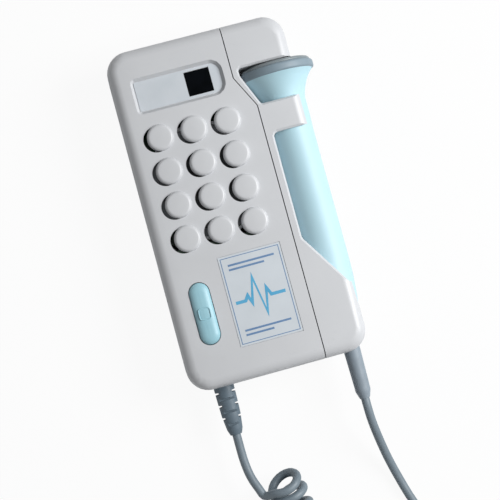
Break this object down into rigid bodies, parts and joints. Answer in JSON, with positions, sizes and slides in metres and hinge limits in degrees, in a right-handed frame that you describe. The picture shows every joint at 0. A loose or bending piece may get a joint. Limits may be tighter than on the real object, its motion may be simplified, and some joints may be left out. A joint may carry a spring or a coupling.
{
  "type": "fetal doppler monitor",
  "caption": "Pocket heartbeat monitor: flat rounded case with a loudspeaker grille and display, and a holstered flared probe on a curled lead.",
  "frame": {"origin": "centre of the back face, on which the case lies", "axes": "+Y from the foot towards the head end, +Z out of the front face, +X towards the probe's side"},
  "size_m": [0.0855, 0.284, 0.0318],
  "materials": {
    "shell": "satin white moulding",
    "pale_plate": "matt pale plate",
    "display_black": "gloss black",
    "black_plastic": "matt black",
    "label": "satin film",
    "button_blue": "satin pale blue",
    "board": "green solder mask",
    "flat_cable": "matt off-white",
    "foam": "black foam",
    "steel": "plain steel",
    "screw_steel": "zinc plated",
    "paper": "pressed paper",
    "magnet": "ferrite",
    "wheel_grey": "matt grey",
    "battery_jacket": "printed jacket, left plain",
    "lead_rubber": "matt grey",
    "probe_blue": "satin blue",
    "rim_grey": "matt grey",
    "face_grey": "smooth grey",
    "crystal": "ceramic",
    "backing": "cast resin"
  },
  "bodies": {
    "case": {"front_cover": "shell", "rear_case": "shell", "probe_holster": "shell", "display_plate": "pale_plate", "display_window": "display_black", "display_module": "black_plastic", "label_plate": "label", "switch_body": "black_plastic", "control_board": "board", "main_board": "board", "board_link": "flat_cable", "speaker_gasket": "foam", "speaker_basket": "steel", "speaker_cone": "paper", "speaker_magnet": "magnet", "volume_pot": "steel", "headphone_jack": "black_plastic", "battery": "battery_jacket", "battery_snap": "black_plastic", "case_screws": "screw_steel", "board_screws": "screw_steel", "lead_relief": "lead_rubber", "inner_lead": "lead_rubber", "lead_tail": "lead_rubber", "lead_curly": "lead_rubber"},
    "button": {"power_button": "button_blue", "switch_plunger": "black_plastic"},
    "wheel": {"volume_wheel": "wheel_grey"},
    "door": {"battery_door": "shell"},
    "probe": {"probe_handle": "probe_blue", "probe_cone": "probe_blue", "probe_rim": "rim_grey", "probe_face": "face_grey", "transducer_crystals": "crystal", "transducer_backing": "backing", "probe_board": "board", "probe_relief": "lead_rubber", "probe_lead": "lead_rubber"}
  },
  "joints": [
    {"name": "power_press", "type": "slide", "parent": "case", "child": "button", "axis": [0, 0, -1], "range_m": [0, 0.0008], "stiffness_N_per_m": 1500, "springref_m": -0.0002},
    {"name": "volume_turn", "type": "hinge", "parent": "case", "child": "wheel", "pos_m": [-0.017, 0.0618, 0.0132], "axis": [0, 0, 1], "range_deg": [0, 300]},
    {"name": "door_slide", "type": "slide", "parent": "case", "child": "door", "axis": [0, -1, 0], "range_m": [0, 0.018]},
    {"name": "probe_slide", "type": "slide", "parent": "case", "child": "probe", "axis": [1, 0, 0], "range_m": [0, 0.03]}
  ]
}
